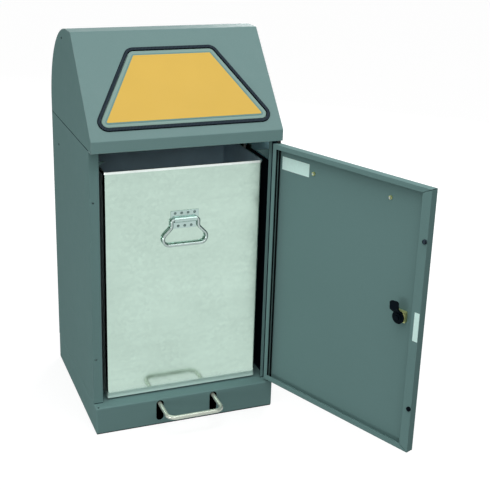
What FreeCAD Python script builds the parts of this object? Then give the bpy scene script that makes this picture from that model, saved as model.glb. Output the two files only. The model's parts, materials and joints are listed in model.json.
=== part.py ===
import FreeCAD, Part
import math
import os

# Pedal recycling bin in folded steel sheet: plinth with a foot pedal, cabinet, sloped hood with a
# push-in flap, a front door that hangs on two pins, and a galvanised liner with a bail handle.
# Millimetres, +Z up, front towards -Y, origin on the floor under the middle of the plinth.
# The pieces are placed as the bin stands with its door swung open.

# Cabinet
body_w = 400.0
body_d = 380.0
base_top = 61.0
seam_z = 614.0
fascia_h = 23.3
top_z = 822.0
slope_run = 164.0
flat_top = 34.0
back_drop = 26.0
sheet = 1.5
bend_r = 3.0
seam_gap = 1.5
seam_deep = 1.0
flange_w = 20.0
back_flange_w = 15.0
seat_flange_w = 6.0
pad_h = 2.0
pad_r = 7.0
plinth_lip_w = 15.0
rib_half = 165.0
rib_flange = 12.0
rib_foot = 10.0

# Clearances: pieces fixed together, turning pieces, flat faces that pass each other
fit = 0.05
run = 0.08
slide_gap = 0.3

# Flap mouth, measured up the slope from the fascia and in from the sides
mouth_low = 20.3
mouth_under_top = 41.0
mouth_edge_low = 5.4
mouth_edge_high = 107.4
mouth_corner_r = 21.0
trim_w = 7.2
trim_grip = 5.0
trim_back_grip = 3.0
trim_t = 2.8
trim_back_t = 2.0
trim_edge_r = 2.2

# Flap
flap_gap = 0.6
flap_t = 1.5
flap_lap = 3.5
field_gap = 1.6
field_proud = 0.8
pale_band = 7.0
face_t = 0.5
border_band = 3.0
decal_t = 0.3
flap_axis_over = 7.0
flap_axis_depth = 13.0
flap_rod_r = 4.0
knuckle_r = 7.0
knuckle_w = 24.0
knuckle_in = 30.0
flap_bracket_out = 11.4
flap_bracket_t = 3.0
flap_bracket_reach = 9.0
flap_bracket_foot = 14.0
flap_open = 60.0

# Linkage between the pedal and the flap, beside the right wall
lever_in = 21.5
lever_t = 4.0
lever_w = 14.0
push_in = 12.5
push_r = 4.0
push_hole_gap = 1.0
pin_r = 3.0
pin_slack = 0.9
pin_head_r = 4.5
pin_head_t = 1.5
guide_low_up = 139.0
guide_high_down = 74.0
guide_t = 2.0
guide_half = 11.0
guide_nose = 8.0
guide_leg = 24.0
spring_len = 92.0
spring_wire_r = 0.9
spring_r = 6.6
spring_turns = 9
collar_r = 8.5
collar_h = 6.0
foot_r = 9.0
foot_t = 3.0
foot_socket = 1.5
foot_gap = 0.5

# Pedal
pedal_z = 49.0
pedal_r = 4.5
pedal_half = 60.5
pedal_out = 64.5
pedal_bend_r = 18.0
pedal_stroke = 16.0
axle_r = 5.0
axle_in = 80.0
axle_end = 10.0
hub_r = 8.5
hub_w = 14.0
bearing_w = 18.0
bearing_half = 12.0
bearing_under = 6.0
bearing_left_out = 40.0
bearing_right_in = 36.0
arm_t = 6.0
arm_w = 6.5
nose_r = 6.0
slot_w = 16.5
slot_low = 9.5
slot_under_top = 3.5

# Door
door_t = 18.0
door_rest_gap = 4.0
door_side_gap = 2.0
door_low_gap = 7.5
door_high_gap = 6.5
free_lip = 20.0
hinge_lip = 9.0
top_lip = 10.0
bottom_lip = 11.5
door_edge_r = 2.0
door_slit = 1.2
door_open = 112.4
pivot_edge = 4.0
pivot_face = 5.0
pivot_r = 2.0
pivot_engage = 11.0
pivot_shoulder_r = 4.0
pivot_head_r = 3.2
pivot_head_t = 2.0
spare_hole_r = 2.5
strip_w = 5.9
strip_bead_r = 1.2
buffer_r = 4.7
buffer_short = 0.5
buffer_stem_r = 2.0
buffer_tail = 3.0
buffer_edge = 5.0
buffer_low_up = 95.5
buffer_high_down = 99.8
buffer_hole_r = 1.6

# Lock
lock_edge = 51.5
lock_up = 2.0
lock_face_r = 12.0
lock_face_t = 2.5
lock_body_r = 9.0
lock_back = 5.0
plug_r = 6.0
plug_tail_r = 4.0
nut_w = 23.0
nut_t = 6.0
nut_corner_r = 3.0
key_slot_w = 1.2
key_slot_h = 7.0
key_slot_deep = 2.0
cam_t = 3.0
cam_w = 20.0
cam_len = 36.0
cam_hub_r = 13.0
cam_boss_r = 9.0
cam_boss_h = 2.5
cam_tip_r = 5.0
cam_crank_start = 10.0
cam_crank_end = 20.0
cam_behind_flange = 1.0
cam_lean = 6.0
cam_screw_flats = 10.0
cam_screw_h = 3.0
cam_screw_r = 2.0
cam_screw_deep = 10.0

# Sign plate on the outside of the door
sign_half = 112.0
sign_h = 46.0
sign_t = 1.0
sign_down = 43.0
sign_screw_x = 97.0
sign_screw_r = 2.0
sign_head_r = 4.0
sign_head_t = 1.6
sign_nut_flats = 7.0
sign_nut_t = 3.0
sign_tail = 2.0

# Liner
liner_side_gap = 32.0
liner_front_gap = 8.0
liner_d = 224.0
liner_low_gap = 4.0
liner_top_gap = 47.0
liner_t = 1.0
liner_bend_r = 4.0
liner_return = 14.0
hem_h = 5.0
hem_t = 1.6
rail_in = 28.0
rail_w = 14.0
rail_end_gap = 6.0
stop_half = 110.0
stop_h = 22.0
stop_leg = 18.0
stop_gap = 0.5

# Liner handle
handle_down = 112.0
leaf_t = 1.5
leaf_half_high = 30.0
leaf_half_low = 25.0
leaf_up = 18.1
leaf_down = 20.0
barrel_r = 5.5
barrel_half = 24.0
bail_r = 3.2
bail_leg_out = 5.0
bail_leg_h = 17.0
bail_drop = 55.0
bail_spread = 37.2
bail_tongue = 15.0
bail_top_r = 4.5
bail_hip_r = 9.0
bail_low_r = 14.0
rivet_r = 2.0
rivet_head_r = 3.0
rivet_head_t = 1.2
rivet_pitch = 14.0
rivet_high_count = 4
rivet_low_count = 3
rivet_edge = 5.0

# Liner guides at the top of the side panels
tab_in = 36.3
tab_down = 29.3
tab_drop = 29.7
tab_t = 2.0
tab_behind = 24.0
tab_foot = 15.0

# Body rivets
body_rivet_r = 1.6
body_rivet_head_r = 2.6
body_rivet_head_t = 0.8
body_rivet_tail = 1.2
hood_rivet_in = 130.6
hood_rivet_down = 24.8
side_rivet_in = 69.1
side_rivet_down = 60.6

# Places that follow from the sizes above
Vec = FreeCAD.Vector
AX = Vec(1, 0, 0)
AY = Vec(0, 1, 0)
AZ = Vec(0, 0, 1)
half_w = body_w / 2
inner_x = half_w - sheet
front_y = -body_d / 2
back_y = body_d / 2
floor_low = base_top - sheet
fascia_top = seam_z + fascia_h
back_run = body_d - slope_run - flat_top
back_rise = top_z - seam_z - back_drop
slope_top_y = front_y + slope_run
slope_len = math.hypot(slope_run, top_z - fascia_top)
slope_sin = slope_run / slope_len
slope_cos = (top_z - fascia_top) / slope_len
mouth_high = slope_len - mouth_under_top
mouth_half_low = half_w - mouth_edge_low
mouth_half_high = half_w - mouth_edge_high
push_x = inner_x - push_in
lever_x = inner_x - lever_in
guide_low_z = base_top + guide_low_up
guide_high_z = seam_z - guide_high_down
bar_y = front_y - pedal_out
axle_y = front_y + axle_in
door_in_y = front_y + door_t
flange_y = door_in_y + door_rest_gap
door_x = half_w - door_side_gap
door_low = base_top + door_low_gap
door_high = seam_z - door_high_gap
pivot = Vec(door_x - pivot_edge, front_y + pivot_face, 0)
lock_x = -door_x + lock_edge
lock_z = (door_low + door_high) / 2 + lock_up
lock_end = door_in_y - lock_back
sign_z = door_high - sign_down
liner_half = half_w - liner_side_gap
liner_front = flange_y + liner_front_gap
liner_back = liner_front + liner_d
liner_low = base_top + liner_low_gap
liner_top = seam_z - liner_top_gap
handle_z = liner_top - handle_down
barrel_y = liner_front - barrel_r - fit
bail_leg_x = barrel_half + bail_leg_out


def box(x0, x1, y0, y1, z0, z1):
    return Part.makeBox(x1 - x0, y1 - y0, z1 - z0, Vec(x0, y0, z0))


def bar(start, end, radius):
    along = end - start
    return Part.makeCylinder(radius, along.Length, start, along)


def pivot_bar(z0, z1, radius):
    return bar(Vec(pivot.x, pivot.y, z0), Vec(pivot.x, pivot.y, z1), radius)


def join(first, *others):
    return first.fuse(list(others)).removeSplitter()


def hexagon(centre, flats, depth):
    """A hexagonal prism that stands on centre and points along +Y, two corners up and down."""
    corner = flats / math.sqrt(3)
    points = []
    for i in range(7):
        a = math.radians(60 * i)
        points.append(centre + Vec(corner * math.sin(a), 0, corner * math.cos(a)))
    return Part.Face(Part.makePolygon(points)).extrude(AY * depth)


def bend(before, corner, after, radius):
    """Start, middle and end of the arc that rounds a corner."""
    u = (before - corner).normalize()
    v = (after - corner).normalize()
    half = u.getAngle(v) / 2
    reach = radius / math.tan(half)
    middle = (u + v).normalize() * (radius / math.sin(half) - radius)
    return corner + u * reach, corner + middle, corner + v * reach


def rounded(points, radii, closed=False):
    """A wire of straight runs joined by arcs; one radius for each corner, 0 for a sharp one."""
    n = len(points)
    corners = range(n) if closed else range(1, n - 1)
    ends = [(p, None, p) for p in points]
    for i, radius in zip(corners, radii):
        if radius > 0:
            ends[i] = bend(points[i - 1], points[i], points[(i + 1) % n], radius)
    edges = []
    for i in range(n if closed else n - 1):
        start, stop = ends[i], ends[(i + 1) % n]
        if start[1] is not None:
            edges.append(Part.Arc(*start).toShape())
        if (stop[0] - start[2]).Length > 1e-6:
            edges.append(Part.LineSegment(start[2], stop[0]).toShape())
    return Part.Wire(edges)


def tube(points, radii, radius):
    """A round wire bent along straight runs and arcs."""
    ring = Part.Wire(Part.makeCircle(radius, points[0], points[1] - points[0]))
    return rounded(points, radii).makePipeShell([ring], True, False)


def inset(points, distance, closed=True):
    """A flat outline moved to its left by distance; the ends of an open one move squarely."""
    n = len(points)
    lines = []
    for i in range(n if closed else n - 1):
        (x0, y0), (x1, y1) = points[i], points[(i + 1) % n]
        length = math.dist(points[i], points[(i + 1) % n])
        dx, dy = (x1 - x0) / length, (y1 - y0) / length
        lines.append((x0 - dy * distance, y0 + dx * distance, dx, dy))
    moved = []
    for i in range(n):
        if closed or 0 < i < n - 1:
            ax, ay, au, av = lines[i - 1]
            bx, by, bu, bv = lines[i]
            k = ((bx - ax) * bv - (by - ay) * bu) / (au * bv - av * bu)
            moved.append((ax + au * k, ay + av * k))
        else:
            ux, uy = lines[0][2:] if i == 0 else lines[-1][2:]
            moved.append((points[i][0] - uy * distance, points[i][1] + ux * distance))
    return moved


def slope_point(x, v, w):
    """Across the bin, up the slope from the fascia, and out of the slope."""
    return Vec(x, front_y + v * slope_sin - w * slope_cos, fascia_top + v * slope_cos + w * slope_sin)


slope_out = Vec(0, -slope_cos, slope_sin)
mouth = [
    (-mouth_half_low, mouth_low),
    (mouth_half_low, mouth_low),
    (mouth_half_high, mouth_high),
    (-mouth_half_high, mouth_high),
]


def mouth_prism(distance, w0, w1):
    """The mouth's rounded trapezoid, drawn in by distance, between two heights over the slope."""
    points = [slope_point(x, v, w0) for x, v in inset(mouth, distance)]
    radius = max(mouth_corner_r - distance, 0.0)
    return Part.Face(rounded(points, [radius] * 4, True)).extrude(slope_out * (w1 - w0))


def slope_block(corners, x0, x1):
    """A section given as (up the slope, out of the slope), pulled across the bin."""
    points = [slope_point(x0, v, w) for v, w in corners]
    return Part.Face(Part.makePolygon(points + points[:1])).extrude(AX * (x1 - x0))


def both_sides(make):
    """The same piece on the right and, mirrored, on the left."""
    right = make()
    return Part.makeCompound([right, right.mirror(Vec(0, 0, 0), AX)])


# Blind rivets through the cheeks and the side panels
rivet_spots = []
for side in (-1, 1):
    rivet_spots.append((Vec(side * half_w, back_y - hood_rivet_in, top_z - hood_rivet_down), AX * side))
    rivet_spots.append((Vec(side * half_w, back_y - side_rivet_in, seam_z - side_rivet_down), AX * side))


def body_rivet(place, out):
    inside = place - out * (sheet + fit)
    head = Part.makeCone(body_rivet_head_r, body_rivet_r, body_rivet_head_t, place, out)
    shank = bar(inside, place, body_rivet_r)
    tail = bar(inside - out * body_rivet_tail, inside, body_rivet_head_r)
    return join(head, shank, tail)


def rivet_holes():
    return [bar(p - out * 2 * sheet, p + out * 2 * sheet, body_rivet_r + fit) for p, out in rivet_spots]


# Flap axis, and the push rod's place: there the pedal arm's lift swings the lever right through
flap_front = -sheet - trim_back_t - flap_gap
field_inset = trim_w + field_gap
face_inset = field_inset + pale_band
decal_inset = face_inset + border_band
face_front = field_proud + face_t
flap_axis_v = mouth_high + flap_axis_over
flap_axis = slope_point(0, flap_axis_v, -flap_axis_depth)
stroke = math.radians(pedal_stroke)
half_turn = math.radians(flap_open) / 2
arm_gain = math.sin(stroke) / math.cos(stroke / 2)
lever_gain = 2 * math.tan(half_turn)
push_y = (lever_gain * flap_axis.y - arm_gain * axle_y) / (lever_gain - arm_gain)
lever_reach = push_y - flap_axis.y
lever_far = lever_reach / math.cos(half_turn)
arm_len = (push_y - axle_y) / math.cos(stroke / 2)
lift = arm_len * math.sin(stroke)
axle = Vec(0, axle_y, pedal_z)
pin_place = Vec(push_x, push_y, flap_axis.z - lever_reach * math.tan(half_turn))
foot_low = pedal_z - lift + nose_r + foot_gap


# Plinth: an upturned tray whose top is the cabinet's floor
def pedal_slot(x):
    radius = slot_w / 2
    low, high = slot_low + radius, base_top - slot_under_top - radius
    y0, y1 = front_y - sheet, front_y + 2 * sheet
    ends = [bar(Vec(x, y0, z), Vec(x, y1, z), radius) for z in (low, high)]
    return join(box(x - radius, x + radius, y0, y1, low, high), *ends)


def floor_hole(x, y, radius):
    return bar(Vec(x, y, floor_low - sheet), Vec(x, y, base_top + sheet), radius)


def make_plinth():
    shell = box(-half_w, half_w, front_y, back_y, pad_h, base_top)
    rim = [e for e in shell.Edges if e.BoundBox.ZMax > base_top - fit]
    shell = shell.makeFillet(bend_r, rim)
    shell = shell.cut(box(-inner_x, inner_x, front_y + sheet, back_y - sheet, pad_h, floor_low))
    lip_x = inner_x - plinth_lip_w
    lips = both_sides(lambda: box(lip_x, inner_x, front_y + sheet, back_y - sheet, pad_h, pad_h + sheet))
    cuts = [pedal_slot(-pedal_half), pedal_slot(pedal_half)]
    cuts.append(floor_hole(pivot.x, pivot.y, pivot_r + fit))
    cuts.append(floor_hole(-pivot.x, pivot.y, spare_hole_r))
    cuts.append(floor_hole(push_x, push_y, push_r + push_hole_gap))
    return join(shell, *lips.Solids).cut(cuts)


def make_pads():
    pads = []
    for sx in (-1, 1):
        for sy in (-1, 1):
            place = Vec(sx * (inner_x - plinth_lip_w / 2), sy * (back_y - sheet - 2 * pad_r), 0)
            pads.append(bar(place, place + AZ * pad_h, pad_r))
    pads.append(bar(Vec(0, 0, 0), AZ * pad_h, pad_r))
    return Part.makeCompound(pads)


def make_floor_rib():
    """A folded stiffener across the underside of the floor, with a foot over the middle pad."""
    web = box(-rib_half, rib_half, -sheet / 2, sheet / 2, pad_h, floor_low)
    flange = box(-rib_half, rib_half, -sheet / 2, rib_flange, floor_low - sheet, floor_low)
    return join(web, flange, box(-rib_half, rib_half, -rib_foot, rib_foot, pad_h, pad_h + sheet))


# Cabinet walls
def seam_groove(z, y0):
    """The shadow line along the outer foot of a wall or cheek."""
    return box(half_w - seam_deep, half_w, y0, back_y, z, z + seam_gap)


def make_side(side):
    rear_y = back_y - sheet
    seat_x = inner_x - seat_flange_w
    wall = box(inner_x, half_w, flange_y, rear_y, base_top, seam_z)
    front = box(half_w - flange_w, half_w, flange_y, flange_y + sheet, base_top, seam_z)
    rear = box(half_w - back_flange_w, half_w, rear_y - sheet, rear_y, base_top, seam_z)
    foot = box(seat_x, half_w, flange_y, rear_y, base_top, base_top + sheet)
    head = box(seat_x, half_w, flange_y, rear_y, seam_z - sheet, seam_z)
    panel = join(wall, front, rear, foot, head).cut(seam_groove(base_top, flange_y))
    cuts = rivet_holes()
    if side < 0:
        panel = panel.mirror(Vec(0, 0, 0), AX)
        cuts += through(buffer_spots, flange_y, flange_y + sheet, buffer_hole_r)
    return panel.cut(cuts)


# Hood: one folded skin over two cheeks
hood_line = [
    (front_y, seam_z),
    (front_y, fascia_top),
    (slope_top_y, top_z),
    (back_y - back_run, top_z),
]
hood_radii = [bend_r, 2 * bend_r]


def hood_face(depth, x):
    """The hood's side outline at a depth under its outer face, its back a quarter round."""
    points = [Vec(x, y, z) for y, z in inset(hood_line, -depth, False)]
    front = rounded(points, [r - depth for r in hood_radii])
    corner = Vec(x, back_y - depth, top_z - depth)
    start, stop = points[-1], Vec(x, corner.y, top_z - back_rise)
    back = Part.BSplineCurve()
    weights = [1.0, math.sqrt(0.5), 1.0]
    back.buildFromPolesMultsKnots([start, corner, stop], [3, 3], [0.0, 1.0], False, 2, weights)
    foot = Vec(x, corner.y, seam_z)
    rest = [back.toShape(), Part.LineSegment(stop, foot).toShape()]
    rest.append(Part.LineSegment(foot, points[0]).toShape())
    return Part.Face(Part.Wire(front.Edges + rest))


def make_hood_skin():
    skin = hood_face(0, -half_w).extrude(AX * body_w)
    skin = skin.cut(hood_face(sheet, -half_w).extrude(AX * body_w))
    lip = box(-half_w, half_w, front_y + sheet, flange_y + sheet, seam_z, seam_z + sheet)
    pin_hole = pivot_bar(seam_z - sheet, seam_z + 2 * sheet, pivot_r + fit)
    return join(skin, lip).cut([mouth_prism(trim_grip, -4 * sheet, 4 * sheet), pin_hole])


def make_cheek(side):
    plate = hood_face(sheet + fit, inner_x).extrude(AX * sheet)
    lip_end = flange_y + sheet + fit
    plate = plate.cut(box(0, body_w, front_y, lip_end, seam_z - sheet, seam_z + sheet + fit))
    plate = plate.cut(seam_groove(seam_z, lip_end))
    rear_y = back_y - sheet - fit
    foot = box(inner_x - seat_flange_w, inner_x, lip_end, rear_y, seam_z, seam_z + sheet)
    cheek = join(plate, foot)
    if side < 0:
        cheek = cheek.mirror(Vec(0, 0, 0), AX)
    return cheek.cut(rivet_holes())


def make_flap_trim():
    over = mouth_prism(0, 0, trim_t)
    crown = []
    for e in over.Edges:
        heights = [(v.Point - slope_point(0, 0, 0)).dot(slope_out) for v in e.Vertexes]
        if min(heights) > trim_t / 2:
            crown.append(e)
    over = over.makeFillet(trim_edge_r, crown)
    through = mouth_prism(trim_grip + fit, -sheet, 0)
    behind = mouth_prism(trim_back_grip, -sheet - trim_back_t, -sheet)
    return join(over, through, behind).cut(mouth_prism(trim_w, -4 * sheet, 4 * sheet))


# Flap: panel with two knuckles on a rod, a face plate and a coloured sheet
def flap_bar(x0, x1, radius):
    return bar(flap_axis + AX * x0, flap_axis + AX * x1, radius)


def make_flap_panel():
    """A sheet that laps behind the edging, its middle pressed out to the edging's height."""
    back = flap_front - flap_t
    sheet_edge = mouth_prism(flap_lap, back, flap_front)
    field = mouth_prism(field_inset, back, field_proud)
    panel = join(sheet_edge, field).cut(mouth_prism(field_inset + flap_t, back, field_proud - flap_t))
    low = mouth_high - flap_lap - knuckle_r
    web = [
        (low, back),
        (flap_axis_v, -flap_axis_depth - knuckle_r),
        (flap_axis_v, -flap_axis_depth + knuckle_r),
        (mouth_high - flap_lap, flap_front),
        (low, flap_front),
    ]
    for middle in (knuckle_in - mouth_half_high, mouth_half_high - knuckle_in):
        x0, x1 = middle - knuckle_w / 2, middle + knuckle_w / 2
        panel = panel.fuse([flap_bar(x0, x1, knuckle_r), slope_block(web, x0, x1)])
    return panel.removeSplitter().cut(flap_bar(-half_w, half_w, flap_rod_r + fit))


def make_flap_bracket():
    near = mouth_half_high + flap_bracket_out
    low, high = flap_axis_v - flap_bracket_reach, flap_axis_v + flap_bracket_reach
    deep = -flap_axis_depth - flap_bracket_reach
    seat = -sheet - flap_bracket_t
    ear_line = [(low, deep), (high, deep), (high, -sheet), (low, -sheet)]
    foot_line = [(low, seat), (high, seat), (high, -sheet), (low, -sheet)]
    ear = slope_block(ear_line, near, near + flap_bracket_t)
    foot = slope_block(foot_line, near, near + flap_bracket_foot)
    return join(ear, foot).cut(flap_bar(-half_w, half_w, flap_rod_r + run))


def make_flap_rod():
    end = mouth_half_high + flap_bracket_out + flap_bracket_foot
    return flap_bar(-end, lever_x + lever_t, flap_rod_r)


def make_flap_lever():
    """Made level, then turned down by half of the flap's swing."""
    x0, x1 = lever_x - lever_t / 2, lever_x + lever_t / 2
    slot_r = pin_r + pin_slack
    near, far = lever_reach - pin_slack, lever_far + pin_slack
    tip = lever_far + pin_r
    y, z = flap_axis.y, flap_axis.z
    arm = box(x0, x1, y, y + tip, z - lever_w / 2, z + lever_w / 2)
    nose = flap_bar(x0, x1, lever_w / 2)
    nose.translate(AY * tip)
    lever = join(flap_bar(x0, x1, lever_w / 2 + sheet), arm, nose)
    cuts = [box(x0, x1, y + near, y + far, z - slot_r, z + slot_r), flap_bar(x0, x1, flap_rod_r + fit)]
    for reach in (near, far):
        end = flap_bar(x0, x1, slot_r)
        end.translate(AY * reach)
        cuts.append(end)
    lever = lever.cut(cuts)
    lever.rotate(flap_axis, AX, -math.degrees(half_turn))
    return lever


# Push rod with its pin, collar, foot, guides and return spring
def push_bar(z0, z1, radius):
    return bar(Vec(push_x, push_y, z0), Vec(push_x, push_y, z1), radius)


def pin_bar(x0, x1, radius):
    return bar(Vec(x0, pin_place.y, pin_place.z), Vec(x1, pin_place.y, pin_place.z), radius)


def make_push_rod():
    rod = push_bar(foot_low + foot_t - foot_socket, pin_place.z + 2.5 * pin_r, push_r)
    return rod.cut(pin_bar(push_x - 2 * push_r, push_x + 2 * push_r, pin_r + fit))


def make_rod_pin():
    end = push_x + push_r
    head = pin_bar(end, end + pin_head_t, pin_head_r)
    return join(pin_bar(lever_x - lever_t, end, pin_r), head)


def make_rod_foot():
    return push_bar(foot_low, foot_low + foot_t, foot_r).cut(
        push_bar(foot_low + foot_t - foot_socket, foot_low + 2 * foot_t, push_r + fit)
    )


collar_top = guide_high_z - guide_t - spring_len


def make_rod_collar():
    ring = push_bar(collar_top - collar_h, collar_top, collar_r)
    return ring.cut(push_bar(collar_top - 2 * collar_h, collar_top + collar_h, push_r + fit))


def make_rod_guide(z):
    y0, y1 = push_y - guide_half, push_y + guide_half
    shelf = box(push_x - guide_nose, inner_x, y0, y1, z - guide_t, z)
    leg = box(inner_x - guide_t, inner_x, y0, y1, z - guide_t, z + guide_leg)
    return join(shelf, leg).cut(push_bar(z - 2 * guide_t, z + guide_t, push_r + run))


def arc_to(start, control, end):
    """The arc from start to end whose end tangents meet at control."""
    chord = (start + end) * 0.5
    half = (end - start).Length / 2
    lean = math.acos(half / (control - start).Length)
    middle = chord + (control - chord).normalize() * (half * math.tan(lean / 2))
    return Part.Arc(start, middle, end).toShape()


def make_return_spring():
    """One wire wound round the push rod: two arcs for each quarter turn and straight ends."""
    low = collar_top + spring_wire_r + slide_gap
    high = guide_high_z - guide_t - spring_wire_r - slide_gap
    quarters = 4 * spring_turns
    lead = 2 * spring_wire_r
    rise = (high - low - lead) / quarters

    def place(i):
        a = math.pi / 2 * i
        z = low + lead / 2 + rise * i
        point = Vec(push_x + spring_r * math.cos(a), push_y + spring_r * math.sin(a), z)
        slope = rise / (spring_r * math.pi / 2)
        return point, Vec(-math.sin(a), math.cos(a), slope).normalize()

    start, start_way = place(0)
    edges = [Part.LineSegment(start - start_way * lead, start).toShape()]
    for i in range(quarters):
        p, t = place(i)
        q, u = place(i + 1)
        span, both = q - p, t + u
        a = 2 * (1 - t.dot(u))
        b = span.dot(both)
        reach = (math.sqrt(b * b + a * span.dot(span)) - b) / a
        c, d = p + t * reach, q - u * reach
        joint = (c + d) * 0.5
        edges += [arc_to(p, c, joint), arc_to(joint, d, q)]
    end, end_way = place(quarters)
    edges.append(Part.LineSegment(end, end + end_way * lead).toShape())
    first = start - start_way * lead
    ring = Part.Wire(Part.makeCircle(spring_wire_r, first, start_way))
    print("spring gap between turns", round(4 * rise - 2 * spring_wire_r, 2))
    return Part.Wire(edges).makePipeShell([ring], True, False)


# Pedal: bent rod on an axle under the floor, with the arm that lifts the push rod
def axle_bar(x0, x1, radius):
    return bar(axle + AX * x0, axle + AX * x1, radius)


def make_pedal_rod():
    corners = [(-pedal_half, axle_y), (-pedal_half, bar_y), (pedal_half, bar_y), (pedal_half, axle_y)]
    rod = tube([Vec(x, y, pedal_z) for x, y in corners], [pedal_bend_r] * 2, pedal_r)
    hubs = [axle_bar(x - hub_w / 2, x + hub_w / 2, hub_r) for x in (-pedal_half, pedal_half)]
    return join(rod, *hubs).cut(axle_bar(-half_w, half_w, axle_r + fit))


bearing_left = -pedal_half - bearing_left_out
bearing_right = push_x - bearing_right_in


def make_pedal_bearings():
    blocks = []
    for x in (bearing_left, bearing_right):
        low = pedal_z - axle_r - bearing_under
        x0, x1 = x - bearing_w / 2, x + bearing_w / 2
        block = box(x0, x1, axle_y - bearing_half, axle_y + bearing_half, low, floor_low)
        blocks.append(block.cut(axle_bar(-half_w, half_w, axle_r + run)))
    return Part.makeCompound(blocks)


def make_pedal_arm():
    x0, x1 = push_x - arm_t / 2, push_x + arm_t / 2
    beam = box(x0, x1, axle_y, axle_y + arm_len, pedal_z - arm_w / 2, pedal_z + arm_w / 2)
    nose = axle_bar(x0, x1, nose_r)
    nose.translate(AY * arm_len)
    arm = join(axle_bar(x0, x1, hub_r), beam, nose).cut(axle_bar(x0, x1, axle_r + fit))
    arm.rotate(axle, AX, -pedal_stroke)
    return arm


# Door, made shut and then swung open about its pins
def swung(shape):
    shape.rotate(pivot, AZ, door_open)
    return shape


def lock_bar(y0, y1, radius):
    return bar(Vec(lock_x, y0, lock_z), Vec(lock_x, y1, lock_z), radius)


buffer_x = -door_x + buffer_edge
buffer_spots = [(buffer_x, door_low + buffer_low_up), (buffer_x, door_high - buffer_high_down)]
sign_spots = [(-sign_screw_x, sign_z), (sign_screw_x, sign_z)]


def through(spots, y0, y1, radius):
    return [bar(Vec(x, y0, z), Vec(x, y1, z), radius) for x, z in spots]


def corner_slit(z_out, z_in):
    """The open mitre between two folded edges at one of the door's free corners."""
    out = Vec(-door_x, front_y + door_edge_r + sheet, z_out)
    inner = Vec(-door_x + free_lip, out.y, z_in)
    step = (inner - out).normalize() * door_slit
    start, end = out - step, inner + step
    side = AY.cross(step) / 2
    wire = Part.makePolygon([start - side, end - side, end + side, start + side, start - side])
    return Part.Face(wire).extrude(AY * (door_in_y - out.y))


def make_door_pan():
    pan = box(-door_x, door_x, front_y, door_in_y, door_low, door_high)
    rim = [e for e in pan.Edges if e.BoundBox.YMax < front_y + fit]
    pan = pan.makeFillet(door_edge_r, rim)
    skin_in = front_y + sheet
    wall_x, lip_in = door_x - sheet, door_in_y - sheet
    hollow = box(-wall_x, wall_x, skin_in, lip_in, door_low + sheet, door_high - sheet)
    x0, x1 = -door_x + free_lip, door_x - hinge_lip
    window = box(x0, x1, skin_in, door_in_y, door_low + bottom_lip, door_high - top_lip)
    cuts = [hollow, window, lock_bar(front_y, skin_in, lock_body_r + fit)]
    cuts.append(pivot_bar(door_low, door_high, pivot_r + run))
    cuts += through(buffer_spots, door_in_y - sheet, door_in_y, buffer_stem_r + fit)
    cuts += through(sign_spots, front_y, skin_in, sign_screw_r + fit)
    cuts.append(corner_slit(door_high, door_high - top_lip))
    cuts.append(corner_slit(door_low, door_low + bottom_lip))
    return swung(pan.cut(cuts))


def make_hinge_strip():
    """Fills the hinge corner of the pan from end to end and takes both pins; a bead runs down its face."""
    x1 = door_x - sheet - fit
    x0 = x1 - strip_w
    y0, y1 = front_y + sheet + fit, door_in_y - sheet - fit
    z0, z1 = door_low + sheet + fit, door_high - sheet - fit
    middle = (y0 + y1) / 2
    strip = join(box(x0, x1, y0, y1, z0, z1), bar(Vec(x0, middle, z0), Vec(x0, middle, z1), strip_bead_r))
    deep = pivot_engage + slide_gap
    low = pivot_bar(door_low, door_low + deep, pivot_r + run)
    high = pivot_bar(door_high - deep, door_high, pivot_r + run)
    return swung(strip.cut([low, high]))


def make_door_pins():
    low = join(
        pivot_bar(floor_low, door_low + pivot_engage, pivot_r),
        pivot_bar(base_top, door_low - slide_gap, pivot_shoulder_r),
        pivot_bar(floor_low - pivot_head_t, floor_low, pivot_head_r),
    )
    lip_top = seam_z + sheet
    high = join(
        pivot_bar(door_high - pivot_engage, lip_top, pivot_r),
        pivot_bar(door_high + slide_gap, seam_z, pivot_shoulder_r),
        pivot_bar(lip_top, lip_top + pivot_head_t, pivot_head_r),
    )
    return Part.makeCompound([low, high])


def make_door_buffers():
    buffers = []
    for x, z in buffer_spots:
        head_end = flange_y - buffer_short
        head = bar(Vec(x, door_in_y, z), Vec(x, head_end, z), buffer_r)
        crown = [e for e in head.Edges if e.BoundBox.YMin > head_end - fit]
        head = head.makeFillet(1.0, crown)
        stem = bar(Vec(x, door_in_y - sheet - buffer_tail, z), Vec(x, door_in_y, z), buffer_stem_r)
        buffers.append(join(head, stem))
    return swung(Part.makeCompound(buffers))


# Lock: barrel held by a nut; plug, cam and screw turn together
def make_lock_barrel():
    face = lock_bar(front_y - lock_face_t, front_y, lock_face_r)
    barrel = join(face, lock_bar(front_y, lock_end, lock_body_r))
    return swung(barrel.cut(lock_bar(front_y - lock_face_t, lock_end, plug_r + run)))


def make_lock_nut():
    y, half = front_y + sheet, nut_w / 2
    corners = [(-half, -half), (half, -half), (half, half), (-half, half)]
    wire = rounded([Vec(lock_x + x, y, lock_z + z) for x, z in corners], [nut_corner_r] * 4, True)
    nut = Part.Face(wire).extrude(AY * nut_t)
    return swung(nut.cut(lock_bar(front_y, lock_end, lock_body_r + fit)))


cam_y = lock_end + slide_gap
cam_end = cam_y + cam_t
boss_end = cam_end + cam_boss_h


def turned(shape):
    """From straight up to the cam's lean, then open with the door."""
    shape.rotate(Vec(lock_x, 0, lock_z), AY, cam_lean)
    return swung(shape)


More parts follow.
